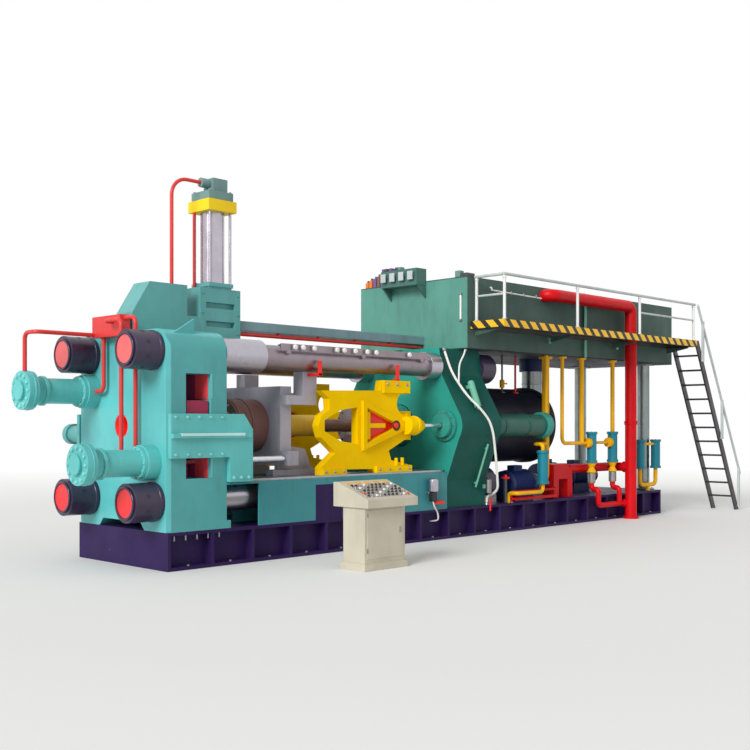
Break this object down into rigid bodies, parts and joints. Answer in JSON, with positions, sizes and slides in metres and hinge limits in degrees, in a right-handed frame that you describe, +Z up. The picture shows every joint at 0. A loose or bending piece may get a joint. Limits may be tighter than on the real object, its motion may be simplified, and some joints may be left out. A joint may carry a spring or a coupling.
{
  "type": "aluminum extrusion press",
  "caption": "Horizontal hydraulic extrusion press: tie-rod frame with front platen, sliding container and crosshead, rear cylinders, overhead oil tank, walkway, ladder and console.",
  "frame": {"origin": "on the floor under the middle of the base frame, on the vertical plane of the press axis", "axes": "+X along the press axis from the front platen towards the oil tank and ladder, -Y towards the operator, +Z up"},
  "size_m": [13.52, 4.427, 4.71],
  "materials": {
    "navy_paint": "satin",
    "teal_paint": "satin",
    "green_paint": "satin",
    "dark_green_paint": "satin",
    "pale_green_paint": "satin",
    "tank_paint": "satin",
    "red_paint": "gloss",
    "yellow_paint": "satin",
    "black_paint": "satin",
    "grey_paint": "satin",
    "white_paint": "satin",
    "blue_paint": "satin",
    "beige_paint": "satin",
    "gold_paint": "satin",
    "brown_steel": "matte",
    "dark_steel": "matte",
    "ground_steel": "satin",
    "bright_steel": "satin",
    "chrome": "polished"
  },
  "bodies": {
    "frame": {"base_frame": "navy_paint", "service_panels": "navy_paint", "machine_bed": "green_paint", "slide_ways": "ground_steel", "front_platen": "teal_paint", "die_slide": "dark_steel", "die_slide_seat": "red_paint", "die_stack": "dark_steel", "die_guide_plates": "teal_paint", "die_slide_cylinder": "teal_paint", "tie_rods": "ground_steel", "tie_rod_collars": "bright_steel", "tie_rod_nuts": "black_paint", "nut_discs": "red_paint", "container_cylinders": "teal_paint", "front_manifold": "red_paint", "hydraulic_pipes": "red_paint", "shear_bracket": "teal_paint", "shear_column": "teal_paint", "shear_cylinder": "chrome", "shear_band": "yellow_paint", "shear_head": "green_paint", "overhead_beam": "dark_green_paint", "switch_rail": "grey_paint", "cylinder_crosshead": "green_paint", "main_cylinder": "dark_green_paint", "side_cylinders": "green_paint", "prefill_valve": "bright_steel", "prefill_elbow": "green_paint", "tank_floor": "tank_paint", "tank_walls": "tank_paint", "tank_ends": "pale_green_paint", "tank_lid": "tank_paint", "tank_valve_bank": "pale_green_paint", "tank_columns": "grey_paint", "conduit": "grey_paint", "walkway_deck": "dark_steel", "guard_posts": "white_paint", "guard_rails": "white_paint", "ladder": "dark_steel", "ladder_handrail": "white_paint", "pump_motors": "blue_paint", "oil_pumps": "dark_steel", "check_valves": "teal_paint", "valve_couplings": "yellow_paint", "suction_pipes": "yellow_paint", "header_pipe": "red_paint", "return_pipe": "red_paint", "filter_unit": "red_paint", "console_cabinet": "beige_paint", "console_panel": "beige_paint"},
    "container": {"container_body": "brown_steel", "container_liner": "dark_steel", "container_holder": "grey_paint", "container_rods": "chrome"},
    "crosshead": {"crosshead_frame": "yellow_paint", "crosshead_webs": "red_paint", "stem_assembly": "dark_steel", "dummy_block": "gold_paint", "rams": "chrome"}
  },
  "joints": [
    {"name": "container_slide", "type": "slide", "parent": "frame", "child": "container", "axis": [-1, 0, 0], "range_m": [0, 0.55]},
    {"name": "crosshead_slide", "type": "slide", "parent": "frame", "child": "crosshead", "axis": [-1, 0, 0], "range_m": [-0.38, 1.25]}
  ]
}
